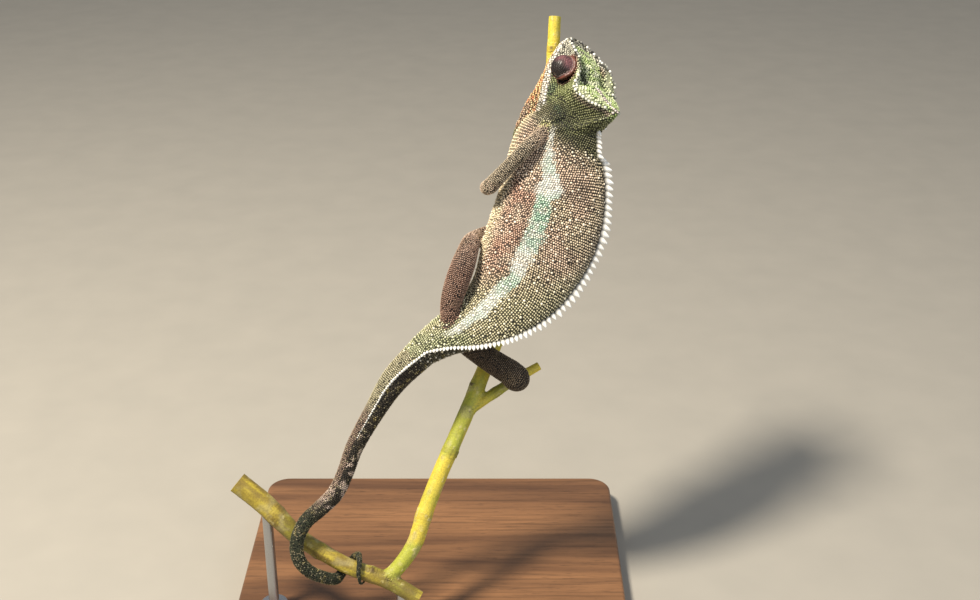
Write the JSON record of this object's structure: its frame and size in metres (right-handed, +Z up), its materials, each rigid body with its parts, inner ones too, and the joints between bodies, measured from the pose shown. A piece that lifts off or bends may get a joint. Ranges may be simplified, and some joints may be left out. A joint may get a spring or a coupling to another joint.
{
  "type": "panther chameleon display model",
  "caption": "Life-size still model of an adult male panther chameleon climbing a forked cut branch, on a flat wooden stand with short steel rods.",
  "frame": {"origin": "centre of the stand base's flat underside", "axes": "+Z up, +X to the animal's back (its crest side), -Y to the side that shows the animal's left flank; the animal climbs up and leans back along +Y"},
  "size_m": [0.234, 0.172, 0.3386],
  "materials": {
    "skin_flank": "matt granular scales",
    "skin_head": "matt plate-like scales",
    "skin_tail": "matt granular scales",
    "skin_limb": "matt granular scales",
    "eye_lid": "fine scaled lid, satin",
    "bark": "smooth green-yellow bark",
    "stand_wood": "oiled hardwood",
    "stand_steel": "brushed"
  },
  "bodies": {
    "root": {"belly": "skin_flank", "chest": "skin_flank", "eye_left": "eye_lid", "eye_right": "eye_lid", "forearm_left": "skin_limb", "forearm_right": "skin_limb", "forefoot_left": "skin_limb", "forefoot_right": "skin_limb", "head": "skin_head", "hindfoot_left": "skin_limb", "hindfoot_right": "skin_limb", "lower_jaw": "skin_head", "pelvis": "skin_flank", "perch_branch": "bark", "perch_stem": "bark", "perch_twig": "bark", "shin_left": "skin_limb", "shin_right": "skin_limb", "stand_base": "stand_wood", "stand_rod_left": "stand_steel", "stand_rod_right": "stand_steel", "tail_coil": "skin_tail", "tail_middle": "skin_tail", "tail_root": "skin_tail", "thigh_left": "skin_limb", "thigh_right": "skin_limb", "upper_arm_left": "skin_limb", "upper_arm_right": "skin_limb"}
  },
  "joints": []
}
